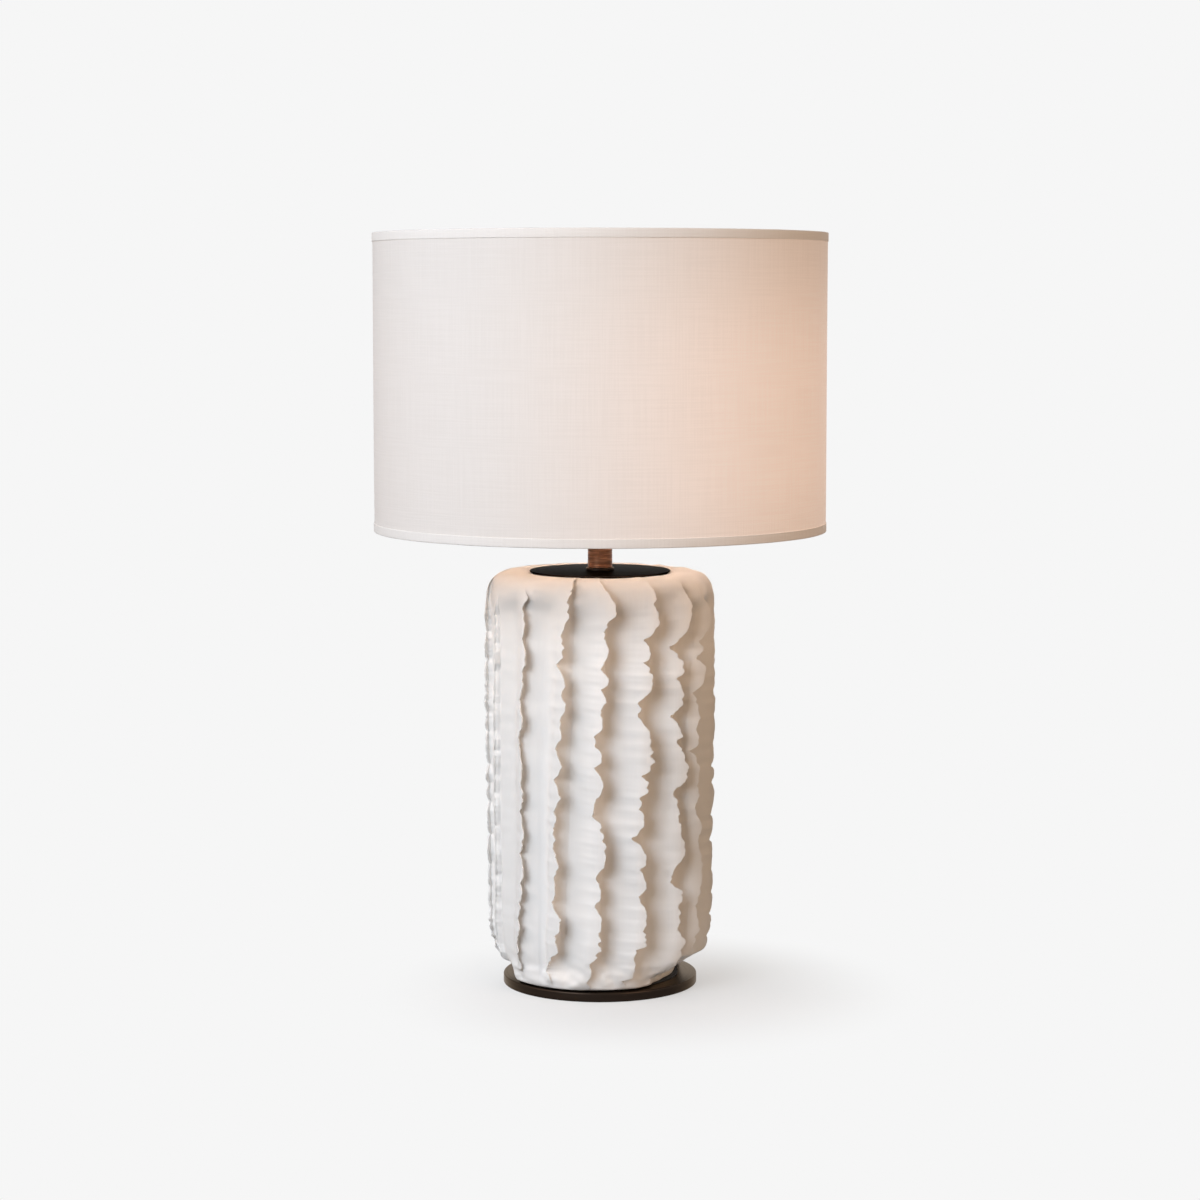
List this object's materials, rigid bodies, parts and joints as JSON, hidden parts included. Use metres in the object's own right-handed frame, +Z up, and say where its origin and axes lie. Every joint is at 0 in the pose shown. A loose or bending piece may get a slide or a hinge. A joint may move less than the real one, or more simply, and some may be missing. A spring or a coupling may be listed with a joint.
{
  "type": "table lamp",
  "caption": "Table lamp with a ruffled fluted white ceramic body on a round metal plate, a short metal neck and a white linen drum shade.",
  "frame": {"origin": "on the supporting surface, at the centre of the base's underside, on the axis of the rod, neck and shade", "axes": "+Z up along the lamp's axis; -Y towards the viewer's side, with the cable outlet at the back on +Y; the switch knob points along +X"},
  "size_m": [0.3999, 0.4, 0.6675],
  "materials": {
    "bisque": "matt unglazed white, fine tooth",
    "bronze": "dark bronze, satin",
    "copper": "aged copper brown, satin, finely turned",
    "brass": "plain drawn brass",
    "zinc": "zinc plated",
    "nickel": "nickel plated",
    "wire": "white powder coat",
    "linen": "slubby off-white linen weave",
    "liner": "translucent white sheet",
    "felt": "black felt",
    "gasket": "black foam rubber",
    "moulding": "black moulding",
    "fibre": "brown insulating fibre",
    "bead": "black glass bead",
    "bulb_shell": "white moulding",
    "board": "white coated board",
    "opal": "frosted white, lit warm"
  },
  "bodies": {
    "base": {"base_pad": "felt", "base_plate": "bronze", "plate_washer": "zinc", "lock_washers": "zinc", "rod_nuts": "zinc", "foot_gasket": "gasket", "foot_locator": "moulding", "lamp_rod": "zinc", "ceramic_body": "bisque", "cord_grommet": "moulding", "crown_bush": "moulding", "crown_gasket": "gasket", "top_cap": "bronze", "neck_collar": "bronze", "neck_tube": "copper", "socket_cap": "brass", "hub_screw": "zinc", "socket_shell": "brass", "socket_liner": "fibre", "switch_body": "moulding", "terminal_screws": "brass", "screw_shell": "brass", "centre_contact": "brass"},
    "switch": {"switch_stem": "brass", "switch_knob": "moulding"},
    "shade_ring": {"shade_ring": "brass"},
    "shade": {"fitter_ring": "wire", "fitter_arms": "wire", "shade_lower_hoop": "wire", "shade_upper_hoop": "wire", "shade_liner": "liner", "shade_cover": "linen", "shade_lower_hem": "linen", "shade_upper_hem": "linen"},
    "bulb": {"bulb_contact": "brass", "bulb_insulator": "bead", "bulb_cap": "nickel", "bulb_housing": "bulb_shell", "bulb_board": "board", "bulb_diffuser": "opal"}
  },
  "joints": [
    {"name": "switch_turn", "type": "hinge", "parent": "base", "child": "switch", "pos_m": [0.02, 0, 0.446], "axis": [1, 0, 0], "continuous": true},
    {"name": "shade_turn", "type": "hinge", "parent": "base", "child": "shade", "pos_m": [0, 0, 0.46], "axis": [0, 0, 1], "continuous": true},
    {"name": "ring_turn", "type": "hinge", "parent": "base", "child": "shade_ring", "pos_m": [0, 0, 0.4649], "axis": [0, 0, 1], "range_deg": [0, 1440]},
    {"name": "bulb_lift", "type": "slide", "parent": "base", "child": "bulb", "axis": [0, 0, 1], "range_m": [0, 0.24]}
  ]
}
